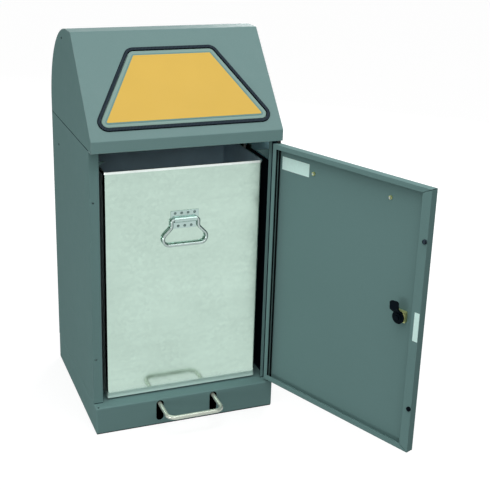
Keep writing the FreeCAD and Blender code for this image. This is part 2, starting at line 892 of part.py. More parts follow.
def make_lock_plug():
    face = front_y - lock_face_t
    plug = join(lock_bar(face, cam_y, plug_r), lock_bar(cam_y, boss_end, plug_tail_r))
    w, h = key_slot_w / 2, key_slot_h / 2
    slot = box(lock_x - w, lock_x + w, face, face + key_slot_deep, lock_z - h, lock_z + h)
    bore = lock_bar(boss_end - cam_screw_deep, boss_end, cam_screw_r + fit)
    return turned(plug.cut([slot, bore]))


def make_lock_cam():
    """A cranked plate with a round hub on the plug and its tip behind the cabinet's flange."""
    tip_y = flange_y + sheet + cam_behind_flange
    near = [(0.0, cam_y), (cam_crank_start, cam_y), (cam_crank_end, tip_y), (cam_len, tip_y)]
    line = near + inset(near, cam_t, False)[::-1]
    x0, x1 = lock_x - cam_w / 2, lock_x + cam_w / 2
    points = [Vec(x0, y, lock_z + z) for z, y in line]
    strip = Part.Face(Part.makePolygon(points + points[:1])).extrude(AX * cam_w)
    outline = [(x0, 0), (x1, 0), (x1, cam_len), (x0, cam_len)]
    wire = rounded([Vec(x, front_y, lock_z + z) for x, z in outline], [0, 0, cam_tip_r, cam_tip_r], True)
    strip = strip.common(Part.Face(wire).extrude(AY * body_d))
    hub = lock_bar(cam_y, cam_end, cam_hub_r)
    boss = lock_bar(cam_end, boss_end, cam_boss_r)
    return turned(join(strip, hub, boss).cut(lock_bar(front_y, back_y, plug_tail_r + fit)))


def make_cam_screw():
    head = hexagon(Vec(lock_x, boss_end, lock_z), cam_screw_flats, cam_screw_h)
    return turned(join(head, lock_bar(boss_end - cam_screw_deep, boss_end, cam_screw_r)))


# Sign plate, its screws and their nuts
def make_sign_plate():
    high = sign_h / 2
    corners = [(-sign_half, -high), (sign_half, -high), (sign_half, high), (-sign_half, high)]
    points = [Vec(x, front_y - sign_t, sign_z + z) for x, z in corners]
    plate = Part.Face(rounded(points, [bend_r] * 4, True)).extrude(AY * sign_t)
    return swung(plate.cut(through(sign_spots, front_y - sign_t, front_y, sign_screw_r + fit)))


def make_sign_screws():
    face = front_y - sign_t
    end = front_y + sheet + sign_nut_t + sign_tail
    screws = []
    for x, z in sign_spots:
        head = Part.makeCone(sign_screw_r + 1, sign_head_r, sign_head_t, Vec(x, face - sign_head_t, z), AY)
        screws.append(join(head, bar(Vec(x, face, z), Vec(x, end, z), sign_screw_r)))
    return swung(Part.makeCompound(screws))


def make_sign_nuts():
    y0, y1 = front_y + sheet, front_y + sheet + sign_nut_t
    bores = through(sign_spots, y0, y1, sign_screw_r + fit)
    nuts = []
    for (x, z), bore in zip(sign_spots, bores):
        nuts.append(hexagon(Vec(x, y0, z), sign_nut_flats, sign_nut_t).cut(bore))
    return swung(Part.makeCompound(nuts))


# Liner: bent front and back sheets lapped over two end plates, floor, hem, handle and runners
def liner_prism(out, z0, z1):
    """The liner's plan with round corners, drawn outwards by a distance, between two heights."""
    x, y0, y1 = liner_half + out, liner_front - out, liner_back + out
    corners = [Vec(-x, y0, z0), Vec(x, y0, z0), Vec(x, y1, z0), Vec(-x, y1, z0)]
    wire = rounded(corners, [liner_bend_r + out] * 4, True)
    return Part.Face(wire).extrude(AZ * (z1 - z0))


def liner_sheet(y0, y1):
    wall = liner_prism(0, liner_low, liner_top).cut(liner_prism(-liner_t, liner_low, liner_top))
    return wall.common(box(-body_w, body_w, y0, y1, liner_low, liner_top))


def make_liner_front():
    bent = liner_sheet(liner_front, liner_front + liner_return)
    return bent.cut(through(handle_rivets, liner_front, liner_front + liner_t, rivet_r + fit))


def make_liner_back():
    return liner_sheet(liner_back - liner_return, liner_back)


def liner_end(side):
    x0, x1 = sorted((side * (liner_half - 2 * liner_t), side * (liner_half - liner_t)))
    return box(x0, x1, liner_front + liner_bend_r, liner_back - liner_bend_r, liner_low, liner_top)


def make_liner_floor():
    plate = liner_prism(-liner_t, liner_low, liner_low + liner_t)
    return plate.cut([liner_end(-1), liner_end(1)])


handle_rivets = []
rivet_rows = (
    (rivet_high_count, handle_z + leaf_up - rivet_edge),
    (rivet_low_count, handle_z - leaf_down + rivet_edge),
)
for count, z in rivet_rows:
    for i in range(count):
        handle_rivets.append((rivet_pitch * (i - (count - 1) / 2), z))


def make_liner_rim():
    low = liner_top - hem_h
    return liner_prism(fit + hem_t, low, liner_top).cut(liner_prism(fit, low, liner_top))


def make_handle_plate():
    leaf_y = liner_front - leaf_t
    high = box(-leaf_half_high, leaf_half_high, leaf_y, liner_front, handle_z, handle_z + leaf_up)
    low = box(-leaf_half_low, leaf_half_low, leaf_y, liner_front, handle_z - leaf_down, handle_z)
    barrel = bar(Vec(-barrel_half, barrel_y, handle_z), Vec(barrel_half, barrel_y, handle_z), barrel_r)
    bore = bar(Vec(-barrel_half, barrel_y, handle_z), Vec(barrel_half, barrel_y, handle_z), bail_r + run)
    return join(high, low, barrel).cut([bore] + through(handle_rivets, leaf_y, liner_front, rivet_r + fit))


def make_handle_rivets():
    outside, inside = liner_front - leaf_t, liner_front + liner_t
    rivets = []
    for shank, (x, z) in zip(through(handle_rivets, outside, inside, rivet_r), handle_rivets):
        head = Part.makeCone(rivet_r, rivet_head_r, rivet_head_t, Vec(x, outside - rivet_head_t, z), AY)
        tail = bar(Vec(x, inside, z), Vec(x, inside + rivet_head_t, z), rivet_head_r)
        rivets.append(join(shank, head, tail))
    return Part.makeCompound(rivets)


def make_bail():
    tongue = barrel_half - bail_tongue
    right = [(tongue, 0), (bail_leg_x, 0), (bail_leg_x, -bail_leg_h), (bail_leg_x + bail_spread, -bail_drop)]
    line = [(-x, z) for x, z in right] + right[::-1]
    radii = [bail_top_r, bail_hip_r, bail_low_r, bail_low_r, bail_hip_r, bail_top_r]
    return tube([Vec(x, barrel_y, handle_z + z) for x, z in line], radii, bail_r)


def make_liner_rail():
    x1 = liner_half - rail_in
    return box(x1 - rail_w, x1, liner_front + rail_end_gap, liner_back, base_top, liner_low - slide_gap)


def make_liner_stop():
    y0 = liner_back + stop_gap
    wall = box(-stop_half, stop_half, y0, y0 + sheet, base_top, base_top + stop_h)
    return join(wall, box(-stop_half, stop_half, y0, y0 + stop_leg, base_top, base_top + sheet))


def make_liner_guide():
    y0 = flange_y + tab_behind
    top = seam_z - tab_down
    points = [Vec(inner_x - tab_in, y0, top), Vec(inner_x, y0, top), Vec(inner_x, y0, top - tab_drop)]
    web = Part.Face(Part.makePolygon(points + points[:1])).extrude(AY * tab_t)
    foot = box(inner_x - tab_t, inner_x, y0, y0 + tab_foot, top - tab_drop + tab_t, top - tab_t)
    return join(web, foot)


pieces = {
    "base_plinth": make_plinth(),
    "floor_pads": make_pads(),
    "floor_rib": make_floor_rib(),
    "side_left": make_side(-1),
    "side_right": make_side(1),
    "back_panel": box(-half_w, half_w, back_y - sheet, back_y, base_top, seam_z),
    "hood_skin": make_hood_skin(),
    "hood_cheek_left": make_cheek(-1),
    "hood_cheek_right": make_cheek(1),
    "flap_trim": make_flap_trim(),
    "flap_brackets": both_sides(make_flap_bracket),
    "rod_guides": Part.makeCompound([make_rod_guide(guide_low_z), make_rod_guide(guide_high_z)]),
    "return_spring": make_return_spring(),
    "pedal_bearings": make_pedal_bearings(),
    "liner_rails": both_sides(make_liner_rail),
    "liner_stop": make_liner_stop(),
    "liner_guides": both_sides(make_liner_guide),
    "door_pins": make_door_pins(),
    "body_rivets": Part.makeCompound([body_rivet(place, out) for place, out in rivet_spots]),
    "flap_panel": make_flap_panel(),
    "flap_face": mouth_prism(face_inset, field_proud, face_front),
    "flap_decal": mouth_prism(decal_inset, face_front, face_front + decal_t),
    "flap_rod": make_flap_rod(),
    "flap_lever": make_flap_lever(),
    "push_rod": make_push_rod(),
    "rod_pin": make_rod_pin(),
    "rod_collar": make_rod_collar(),
    "rod_foot": make_rod_foot(),
    "pedal_rod": make_pedal_rod(),
    "pedal_axle": axle_bar(bearing_left - bearing_w / 2 - axle_end, push_x + axle_end, axle_r),
    "pedal_arm": make_pedal_arm(),
    "door_pan": make_door_pan(),
    "hinge_strip": make_hinge_strip(),
    "door_buffers": make_door_buffers(),
    "lock_barrel": make_lock_barrel(),
    "lock_nut": make_lock_nut(),
    "lock_plug": make_lock_plug(),
    "lock_cam": make_lock_cam(),
    "cam_screw": make_cam_screw(),
    "sign_plate": make_sign_plate(),
    "sign_screws": make_sign_screws(),
    "sign_nuts": make_sign_nuts(),
    "liner_front": make_liner_front(),
    "liner_back": make_liner_back(),
    "liner_floor": make_liner_floor(),
    "liner_end_left": liner_end(-1),
    "liner_end_right": liner_end(1),
    "liner_rim": make_liner_rim(),
    "handle_plate": make_handle_plate(),
    "handle_rivets": make_handle_rivets(),
    "bail": make_bail(),
}

os.makedirs("parts", exist_ok=True)
for name, shape in pieces.items():
    shape.exportStep("parts/" + name + ".step")
    print(name, len(shape.Solids), "valid" if shape.isValid() else "not valid", round(shape.Volume))
print("flap axis", flap_axis, "push rod", push_x, push_y, "lift", lift, "arm", arm_len)
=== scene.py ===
import json
import math

import bmesh
import bpy
from mathutils import Matrix, Vector


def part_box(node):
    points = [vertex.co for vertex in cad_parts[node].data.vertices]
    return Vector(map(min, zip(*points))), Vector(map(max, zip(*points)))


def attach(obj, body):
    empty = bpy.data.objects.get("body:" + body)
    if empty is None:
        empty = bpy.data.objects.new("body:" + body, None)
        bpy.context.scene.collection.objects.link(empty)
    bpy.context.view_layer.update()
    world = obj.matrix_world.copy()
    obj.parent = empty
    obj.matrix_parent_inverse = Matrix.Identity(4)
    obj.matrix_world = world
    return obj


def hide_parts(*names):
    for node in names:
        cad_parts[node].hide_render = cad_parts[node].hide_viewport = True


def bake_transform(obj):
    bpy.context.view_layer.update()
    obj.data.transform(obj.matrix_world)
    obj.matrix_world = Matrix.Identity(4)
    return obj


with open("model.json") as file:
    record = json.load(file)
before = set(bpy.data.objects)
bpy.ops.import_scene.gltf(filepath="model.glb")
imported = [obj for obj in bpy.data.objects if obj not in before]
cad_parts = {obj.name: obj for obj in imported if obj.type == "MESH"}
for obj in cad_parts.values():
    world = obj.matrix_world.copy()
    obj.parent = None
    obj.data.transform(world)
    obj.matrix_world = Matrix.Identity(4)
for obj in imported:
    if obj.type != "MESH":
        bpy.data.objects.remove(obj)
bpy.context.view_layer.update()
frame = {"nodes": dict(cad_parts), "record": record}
scene = bpy.context.scene
scene.view_settings.view_transform = "Standard"

# Where the open door hangs, in metres and radians
DOOR_PIN = Vector((0.194, -0.185, 0.0))
DOOR_SWING = math.radians(112.4)
DOOR_HINGE_EDGE = 0.198
DOOR_PANEL_Y = -0.1885
DOOR_LIP_Y = -0.172
DOOR_INWARD = Vector((-math.sin(DOOR_SWING), math.cos(DOOR_SWING), 0.0))
STRIP_BEAD_Y = -0.181

# Where the carcass coat is painted near-black as shade: the cabinet's inside, its two seam grooves and a
# strip of the right flange beside the hinge, as ranges in metres
INNER_FROM = -0.1676
INNER_X = (-0.19895, 0.19895)
INNER_Y = (INNER_FROM, 0.1888)
LOW_GROOVE_Z = (0.0609, 0.0625)
HIGH_GROOVE_Z = (0.6139, 0.6155)
FLANGE_SHADOW_X = (0.1862, 0.1995)
FLANGE_SHADOW_Y = (-0.2, INNER_FROM)

# A painted patch of light, pale blue, at the upper end of the right wall's inner face
LIT_PATCH_COLOUR = (0.45, 0.82, 0.90)
LIT_PATCH_X = (0.19, 0.19895)
LIT_PATCH_Y = (INNER_FROM, 0.15)
LIT_PATCH_Z = (0.555, 0.6135)

# Light levels, half the bin's footprint, and the floor's half width, depth and levels
DOME_FROM, DOME_LOW, DOME_HIGH = 0.2, 0.12, 1.5
HIGH_WATTS, LOW_WATTS, EYE_WATTS, REAR_WATTS = 16.0, 8.4, 3.4, 38.0
FOOTPRINT = (0.199, 0.189)
FLOOR_REACH, FLOOR_Z = 20.0, -0.0004
FLOOR_BOUNCE, FLOOR_SHADE, FLOOR_GLOW = 0.22, 0.30, 0.78

# Heights between which the painted reflection of the plinth's ledge, low on the liner, gives way to bright
# sheet, and where the liner's inner faces end
LEDGE_REFLECTION_Z = (0.068, 0.083)
LINER_INNER_X, LINER_INNER_Y = 0.1664, 0.0634

# The return spring's wire radius, turns, and steps in a turn
SPRING_WIRE, SPRING_TURNS, SPRING_STEPS = 0.0009, 9, 24

# The hood's slope: its outward normal, and how far out along it the edging's crown lies, which is painted as
# a highlight
SLOPE_NORMAL = Vector((0.0, -0.748, 0.664))
CROWN_HIGHLIGHT_SPAN = (0.5674, 0.5681)


# Camera
def stand_camera():
    azimuth, elevation, roll = -0.37155, 0.33466, 0.0275
    aim, distance = Vector((0.16316, 0.0, 0.39117)), 2.25464
    back = Vector((math.sin(azimuth) * math.cos(elevation),
                   -math.cos(azimuth) * math.cos(elevation),
                   math.sin(elevation)))
    right = (-back).cross(Vector((0, 0, 1))).normalized()
    up = right.cross(-back)
    across = right * math.cos(roll) + up * math.sin(roll)
    upright = up * math.cos(roll) - right * math.sin(roll)
    data = bpy.data.cameras.new("camera")
    data.lens = 72.68
    data.sensor_width = 36.0
    data.shift_x, data.shift_y = 0.03, -0.06
    camera = bpy.data.objects.new("camera", data)
    scene.collection.objects.link(camera)
    camera.matrix_world = Matrix.Translation(aim + back * distance) @ Matrix(
        (across, upright, back)).transposed().to_4x4()
    scene.camera = camera


# Soft light from above, and a pale floor that runs out to white
def seen_directly(nodes, links):
    """One for what the eye or a polished face sees, nought for light that only falls on the bin."""
    path = nodes.new("ShaderNodeLightPath")
    first = nodes.new("ShaderNodeMath")
    first.operation = "MAXIMUM"
    links.new(path.outputs["Is Camera Ray"], first.inputs[0])
    links.new(path.outputs["Is Glossy Ray"], first.inputs[1])
    both = nodes.new("ShaderNodeMath")
    both.operation = "MAXIMUM"
    links.new(first.outputs[0], both.inputs[0])
    links.new(path.outputs["Is Transmission Ray"], both.inputs[1])
    return both.outputs[0]


def hang_studio_light():
    """A dome that grows brighter towards the upper left front."""
    towards = Vector((-0.36, -0.34, 0.87)).normalized()
    world = bpy.data.worlds.new("studio")
    scene.world = world
    world.use_nodes = True
    nodes, links = world.node_tree.nodes, world.node_tree.links
    nodes.clear()
    where = nodes.new("ShaderNodeTexCoord")
    facing = nodes.new("ShaderNodeVectorMath")
    facing.operation = "DOT_PRODUCT"
    facing.inputs[1].default_value = towards
    links.new(where.outputs["Generated"], facing.inputs[0])
    swell = nodes.new("ShaderNodeMapRange")
    swell.interpolation_type = "SMOOTHSTEP"
    swell.inputs["From Min"].default_value = DOME_FROM
    swell.inputs["From Max"].default_value = 1.0
    swell.inputs["To Min"].default_value = DOME_LOW
    swell.inputs["To Max"].default_value = DOME_HIGH
    links.new(facing.outputs["Value"], swell.inputs["Value"])
    lit = nodes.new("ShaderNodeBackground")
    links.new(swell.outputs["Result"], lit.inputs["Strength"])
    white = nodes.new("ShaderNodeBackground")
    white.inputs["Color"].default_value = (1, 1, 1, 1)
    pick = nodes.new("ShaderNodeMixShader")
    links.new(seen_directly(nodes, links), pick.inputs["Fac"])
    links.new(lit.outputs[0], pick.inputs[1])
    links.new(white.outputs[0], pick.inputs[2])
    out = nodes.new("ShaderNodeOutputWorld")
    links.new(pick.outputs[0], out.inputs["Surface"])


def hang_lamp(name, place, aim, width, height, watts):
    lamp = bpy.data.lights.new(name, "AREA")
    lamp.shape = "RECTANGLE"
    lamp.size, lamp.size_y = width, height
    lamp.energy = watts
    box = bpy.data.objects.new(name, lamp)
    scene.collection.objects.link(box)
    box.location = place
    box.rotation_euler = (Vector(place) - Vector(aim)).to_track_quat("Z", "Y").to_euler()
    box.visible_camera = False


def hang_lamps():
    """A wide box overhead, a low one that reaches under the hood, a weak one by the eye, one behind."""
    hang_lamp("high_box", (0.25, -0.95, 2.25), (0, 0, 0.45), 2.4, 0.5, HIGH_WATTS)
    hang_lamp("low_box", (-1.9, -1.1, 0.2), (0.1, -0.2, 0.35), 0.7, 0.5, LOW_WATTS)
    hang_lamp("eye_box", (-0.7, -2.2, 1.3), (0.0, 0.0, 0.5), 0.4, 0.4, EYE_WATTS)
    hang_lamp("rear_box", (1.7, 1.9, 1.3), (0.0, 0.0, 0.4), 1.6, 1.2, REAR_WATTS)


def beside_the_bin(nodes, links):
    """One on the open floor, nought inside the plinth, where the floor is left black as painted shade, for
    no lamp reaches there.
    """
    where = nodes.new("ShaderNodeTexCoord")
    size = nodes.new("ShaderNodeVectorMath")
    size.operation = "ABSOLUTE"
    links.new(where.outputs["Object"], size.inputs[0])
    split = nodes.new("ShaderNodeSeparateXYZ")
    links.new(size.outputs["Vector"], split.inputs[0])
    outside = []
    for axis, half in zip("XY", FOOTPRINT):
        test = nodes.new("ShaderNodeMath")
        test.operation = "GREATER_THAN"
        test.inputs[1].default_value = half
        links.new(split.outputs[axis], test.inputs[0])
        outside.append(test.outputs[0])
    either = nodes.new("ShaderNodeMath")
    either.operation = "MAXIMUM"
    links.new(outside[0], either.inputs[0])
    links.new(outside[1], either.inputs[1])
    return either.outputs[0]


def lay_floor():
    shape = bmesh.new()
    bmesh.ops.create_grid(shape, x_segments=1, y_segments=1, size=FLOOR_REACH)
    bmesh.ops.translate(shape, verts=shape.verts, vec=(0, 0, FLOOR_Z))
    mesh = bpy.data.meshes.new("floor")
    shape.to_mesh(mesh)
    shape.free()
    floor = bpy.data.objects.new("floor", mesh)
    scene.collection.objects.link(floor)
    material = bpy.data.materials.new("studio_floor")
    material.use_nodes = True
    nodes, links = material.node_tree.nodes, material.node_tree.links
    nodes.clear()
    bounce = nodes.new("ShaderNodeBsdfDiffuse")
    shade = nodes.new("ShaderNodeBsdfDiffuse")
    glow = nodes.new("ShaderNodeEmission")
    open_floor = beside_the_bin(nodes, links)
    levels = ((bounce, "Color", FLOOR_BOUNCE),
              (shade, "Color", FLOOR_SHADE),
              (glow, "Strength", FLOOR_GLOW))
    for shader, socket, amount in levels:
        level = nodes.new("ShaderNodeMath")
        level.operation = "MULTIPLY"
        level.inputs[1].default_value = amount
        links.new(open_floor, level.inputs[0])
        links.new(level.outputs[0], shader.inputs[socket])
    pale = nodes.new("ShaderNodeAddShader")
    links.new(shade.outputs[0], pale.inputs[0])
    links.new(glow.outputs[0], pale.inputs[1])
    pick = nodes.new("ShaderNodeMixShader")
    links.new(seen_directly(nodes, links), pick.inputs["Fac"])
    links.new(bounce.outputs[0], pick.inputs[1])
    links.new(pale.outputs[0], pick.inputs[2])
    out = nodes.new("ShaderNodeOutputMaterial")
    links.new(pick.outputs[0], out.inputs["Surface"])
    mesh.materials.append(material)


# Finishes
class Finish:
    """A material under construction: one shader and the patterns that feed it."""

    def __init__(self, name, metallic=0.0, specular=0.5):
        self.material = bpy.data.materials.new(name)
        self.material.use_nodes = True
        self.nodes = self.material.node_tree.nodes
        self.links = self.material.node_tree.links
        self.shader = self.nodes["Principled BSDF"]
        self.shader.inputs["Metallic"].default_value = metallic
        self.shader.inputs["Specular IOR Level"].default_value = specular
        self.place = self.nodes.new("ShaderNodeTexCoord").outputs["Object"]
        self.normal = None

    def stretched(self, scale):
        mapping = self.nodes.new("ShaderNodeMapping")
        mapping.inputs["Scale"].default_value = scale
        self.links.new(self.place, mapping.inputs["Vector"])
        return mapping.outputs["Vector"]

    def noise(self, scale, detail=2.0, stretch=None):
        node = self.nodes.new("ShaderNodeTexNoise")
        node.inputs["Scale"].default_value = scale
        node.inputs["Detail"].default_value = detail
        self.links.new(self.stretched(stretch) if stretch else self.place, node.inputs["Vector"])
        return node.outputs["Fac"]

    def crystals(self, scale):
        node = self.nodes.new("ShaderNodeTexVoronoi")
        node.inputs["Scale"].default_value = scale
        self.links.new(self.place, node.inputs["Vector"])
        split = self.nodes.new("ShaderNodeSeparateColor")
        self.links.new(node.outputs["Color"], split.inputs[0])
        return split.outputs["Red"]

    def ribs(self, period):
        """Bands across X; at a scale of one they repeat every pi / 10."""
        node = self.nodes.new("ShaderNodeTexWave")
        node.bands_direction = "X"
        node.inputs["Scale"].default_value = math.pi / 10.0 / period
        self.links.new(self.place, node.inputs["Vector"])
        return node.outputs["Fac"]

    def shades(self, pattern, dark, light, low=0.3, high=0.7):
        ramp = self.nodes.new("ShaderNodeValToRGB")
        first, last = ramp.color_ramp.elements
        first.position, last.position = low, high
        first.color, last.color = (*dark, 1), (*light, 1)
        self.links.new(pattern, ramp.inputs["Fac"])
        return ramp.outputs["Color"]

    def blended(self, pattern, one, other):
        mix = self.nodes.new("ShaderNodeMix")
        mix.data_type = "RGBA"
        self.links.new(pattern, mix.inputs["Factor"])
        self.links.new(one, mix.inputs["A"])
        self.links.new(other, mix.inputs["B"])
        return mix.outputs["Result"]

    def between(self, source, low, high):
        """One where the source lies between two values, nought elsewhere."""
        node = self.nodes.new("ShaderNodeMath")
        node.operation = "COMPARE"
        node.inputs[1].default_value = (low + high) / 2
        node.inputs[2].default_value = (high - low) / 2
        self.links.new(source, node.inputs[0])
        return node.outputs[0]

    def either(self, one, other):
        node = self.nodes.new("ShaderNodeMath")
        node.operation = "MAXIMUM"
        self.links.new(one, node.inputs[0])
        self.links.new(other, node.inputs[1])
        return node.outputs[0]

    def both(self, one, other):
        node = self.nodes.new("ShaderNodeMath")
        node.operation = "MULTIPLY"
        self.links.new(one, node.inputs[0])
        self.links.new(other, node.inputs[1])
        return node.outputs[0]

    def rise(self, source, start, end):
        """Grows from nought to one between two values of the source."""
        node = self.nodes.new("ShaderNodeMapRange")
        node.inputs["From Min"].default_value = start
        node.inputs["From Max"].default_value = end
        self.links.new(source, node.inputs["Value"])
        return node.outputs["Result"]

    def along(self, direction):
        node = self.nodes.new("ShaderNodeVectorMath")
        node.operation = "DOT_PRODUCT"
        node.inputs[1].default_value = direction
        self.links.new(self.place, node.inputs[0])
        return node.outputs["Value"]

    def axes(self):
        split = self.nodes.new("ShaderNodeSeparateXYZ")
        self.links.new(self.place, split.inputs[0])
        return split.outputs["X"], split.outputs["Y"], split.outputs["Z"]

    def colour(self, socket):
        self.links.new(socket, self.shader.inputs["Base Color"])

    def roughness(self, pattern, low, high):
        spread = self.nodes.new("ShaderNodeMapRange")
        spread.inputs["From Min"].default_value = 0.25
        spread.inputs["From Max"].default_value = 0.75
        spread.inputs["To Min"].default_value = low
        spread.inputs["To Max"].default_value = high
        self.links.new(pattern, spread.inputs["Value"])
        self.links.new(spread.outputs["Result"], self.shader.inputs["Roughness"])

    def eased_edges(self, radius):
        node = self.nodes.new("ShaderNodeBevel")
        node.samples = 6
        node.inputs["Radius"].default_value = radius
        self.normal = node.outputs["Normal"]
        self.links.new(self.normal, self.shader.inputs["Normal"])

    def relief(self, pattern, height, strength=1.0):
        node = self.nodes.new("ShaderNodeBump")
        node.inputs["Strength"].default_value = strength
        node.inputs["Distance"].default_value = height
        self.links.new(pattern, node.inputs["Height"])
        if self.normal:
            self.links.new(self.normal, node.inputs["Normal"])
        self.normal = node.outputs["Normal"]
        self.links.new(self.normal, self.shader.inputs["Normal"])


def tinted(colour, share):
    return tuple(min(1.0, c * share) for c in colour)


def shaded_inside_of_cabinet(f):
    """Where the carcass is painted dark as shade: its inner faces, its seam grooves and a strip of flange
    beside the hinge.
    """
    x, y, z = f.axes()
    inner = f.both(f.between(x, *INNER_X), f.between(y, *INNER_Y))
    grooves = f.either(f.between(z, *LOW_GROOVE_Z), f.between(z, *HIGH_GROOVE_Z))
    flange_shadow = f.both(f.between(x, *FLANGE_SHADOW_X), f.between(y, *FLANGE_SHADOW_Y))
    return f.either(f.either(inner, grooves), flange_shadow)


def lit_corner_patch(f):
    """The upper end of the right wall's inner face, painted pale as a patch of light."""
    x, y, z = f.axes()
    wall = f.both(f.between(x, *LIT_PATCH_X), f.between(y, *LIT_PATCH_Y))
    return f.both(wall, f.between(z, *LIT_PATCH_Z))


def powder_coat(name, colour, edge=0.0011, inside=None, sheen=0.06, rough=(0.74, 0.86)):
    """Satin coat on sheet steel: a faint cloudiness, fine specks and an orange-peel skin; perhaps painted
    near-black inside as shade, with a painted patch of light at the right wall's upper end.
    """
    f = Finish(name, specular=sheen)
    cloud = f.shades(f.noise(5.0, 3.0), tinted(colour, 0.97), tinted(colour, 1.03))
    specks = f.shades(f.noise(900.0, 1.0), tinted(colour, 0.93), tinted(colour, 1.07))
    coat = f.blended(f.noise(60.0, 2.0), cloud, specks)
    if inside:
        # Painted shade: inside the cabinet, in the seam grooves and beside the hinge the coat turns
        # near-black.
        inside_shade = f.shades(f.noise(30.0, 3.0), tinted(inside, 0.85), tinted(inside, 1.15))
        coat = f.blended(shaded_inside_of_cabinet(f), coat, inside_shade)
        # Painted light: a pale patch at the upper end of the right wall's inner face.
        lit_patch = f.shades(f.noise(25.0, 3.0), tinted(LIT_PATCH_COLOUR, 0.9), tinted(LIT_PATCH_COLOUR, 1.1))
        coat = f.blended(lit_corner_patch(f), coat, lit_patch)
    f.colour(coat)
    f.roughness(f.noise(45.0, 3.0), *rough)
    f.eased_edges(edge)
    f.relief(f.noise(420.0, 2.0), 0.00012, 0.35)
    return f.material


def coloured_film(name, colour):
    """Thin plastic film stuck on flat metal, almost even in colour."""
    f = Finish(name, specular=0.1)
    f.colour(f.shades(f.noise(9.0, 3.0), tinted(colour, 0.97), tinted(colour, 1.02)))
    f.roughness(f.noise(30.0, 2.0), 0.34, 0.44)
    f.relief(f.noise(300.0, 2.0), 0.00006, 0.25)
    return f.material


def shaded_inside_of_liner(f):
    """The inner faces of the liner's plates, which get a painted cool shade."""
    x, y, _ = f.axes()
    return f.both(f.between(x, -LINER_INNER_X, LINER_INNER_X), f.between(y, INNER_FROM, LINER_INNER_Y))


def galvanised_sheet(name, colour, metallic=1.0, rough=(0.11, 0.16), foot_reflection=None, inside=None):
    """Zinc-dipped sheet: crystals, level rolling streaks, cloudy patches, perhaps a painted reflection of
    the ledge along its lowest band, or a painted cool shade on its inner faces.
    """
    f = Finish(name, metallic=metallic)
    spangle = f.shades(f.crystals(140.0), tinted(colour, 0.9), tinted(colour, 1.1), 0.0, 1.0)
    streaks = f.shades(f.noise(24.0, 4.0, (0.5, 0.5, 3.0)), tinted(colour, 0.91), tinted(colour, 1.075))
    patches = f.shades(f.noise(7.0, 2.0), tinted(colour, 0.91), tinted(colour, 1.09))
    sheet = f.blended(f.noise(9.0, 2.0), spangle, streaks)
    sheet = f.blended(f.noise(17.0, 2.0), sheet, patches)
    if inside:
        # Painted shade: the liner's inner faces take a cooler, bluer tint.
        cool_inside_shade = f.shades(f.noise(20.0, 3.0), tinted(inside, 0.93), tinted(inside, 1.07))
        sheet = f.blended(shaded_inside_of_liner(f), sheet, cool_inside_shade)
    if foot_reflection:
        # Painted reflection: along the lowest band the sheet turns matt and pale, standing for the plinth's
        # ledge seen in it.
        height = f.rise(f.along((0, 0, 1)), *LEDGE_REFLECTION_Z)
        sheet = f.blended(height, f.shades(f.noise(60.0, 3.0), tinted(foot_reflection, 0.97), foot_reflection), sheet)
        f.links.new(height, f.shader.inputs["Metallic"])
    f.colour(sheet)
    f.roughness(f.noise(60.0, 3.0), *rough)
    f.eased_edges(0.0007)
    f.relief(f.noise(160.0, 2.0), 0.00003, 0.15)
    return f.material


def bright_zinc(name, colour, rough=(0.16, 0.26), metallic=1.0):
    """Plated bar and strip with faint drawing lines."""
    f = Finish(name, metallic=metallic)
    f.colour(f.shades(f.noise(40.0, 3.0), tinted(colour, 0.93), tinted(colour, 1.03)))
    f.roughness(f.noise(160.0, 3.0), *rough)
    f.eased_edges(0.0005)
    f.relief(f.noise(500.0, 2.0), 0.00003, 0.2)
    return f.material


def rubber_profile(name, flank, crown):
    """Black edging with a painted highlight along the crown that stands out from the slope, broken by short
    cross teeth that are also a bump.
    """
    f = Finish(name, specular=0.015)
    sides = f.shades(f.noise(120.0, 3.0), tinted(flank, 0.8), tinted(flank, 1.3))
    teeth = f.ribs(0.0029)
    # Painted highlight: the crown is paler than the flanks, lighter and darker by turns along the teeth.
    ridge_highlight = f.shades(teeth, tinted(crown, 0.45), tinted(crown, 1.5), 0.2, 0.8)
    f.colour(f.blended(f.rise(f.along(SLOPE_NORMAL), *CROWN_HIGHLIGHT_SPAN), sides, ridge_highlight))
    f.roughness(f.noise(200.0, 2.0), 0.38, 0.55)
    f.relief(teeth, 0.0004, 0.5)
    f.relief(f.noise(700.0, 2.0), 0.00008, 0.3)
    return f.material


def moulded_plastic(name, colour, bead=None):
    """Black plastic, perhaps with a painted highlight along the bead where the door's strip stands proud."""
    f = Finish(name, specular=0.03)
    grain = f.noise(150.0, 3.0)
    body = f.shades(grain, tinted(colour, 0.85), tinted(colour, 1.15))
    if bead:
        middle = STRIP_BEAD_Y - DOOR_PIN.y + DOOR_INWARD.dot(DOOR_PIN)
        # Painted highlight: a pale line along the bead's crest.
        crest_highlight = f.between(f.along(DOOR_INWARD), middle - 0.0012, middle + 0.0012)
        body = f.blended(crest_highlight, body, f.shades(grain, tinted(bead, 0.9), tinted(bead, 1.1)))
    f.colour(body)
    f.roughness(f.noise(220.0, 2.0), 0.45, 0.6)
    f.eased_edges(0.0006)
    f.relief(f.noise(800.0, 2.0), 0.00006, 0.3)
    return f.material


def plain_metal(name, colour, rough, metallic=1.0):
    """Turned or pressed metal with short machining marks."""
    f = Finish(name, metallic=metallic, specular=0.2)
    f.colour(f.shades(f.noise(90.0, 4.0), tinted(colour, 0.85), tinted(colour, 1.08)))
    f.roughness(f.noise(260.0, 3.0), *rough)
    f.eased_edges(0.0004)
    f.relief(f.noise(650.0, 3.0), 0.00004, 0.25)
    return f.material


def label_paper(name, colour):
    """Coated paper with a faint mottle."""
    f = Finish(name, specular=0.1)
    f.colour(f.shades(f.noise(220.0, 3.0), tinted(colour, 0.96), tinted(colour, 1.02)))
    f.roughness(f.noise(90.0, 2.0), 0.45, 0.58)
    f.relief(f.noise(1200.0, 2.0), 0.00003, 0.3)
    return f.material


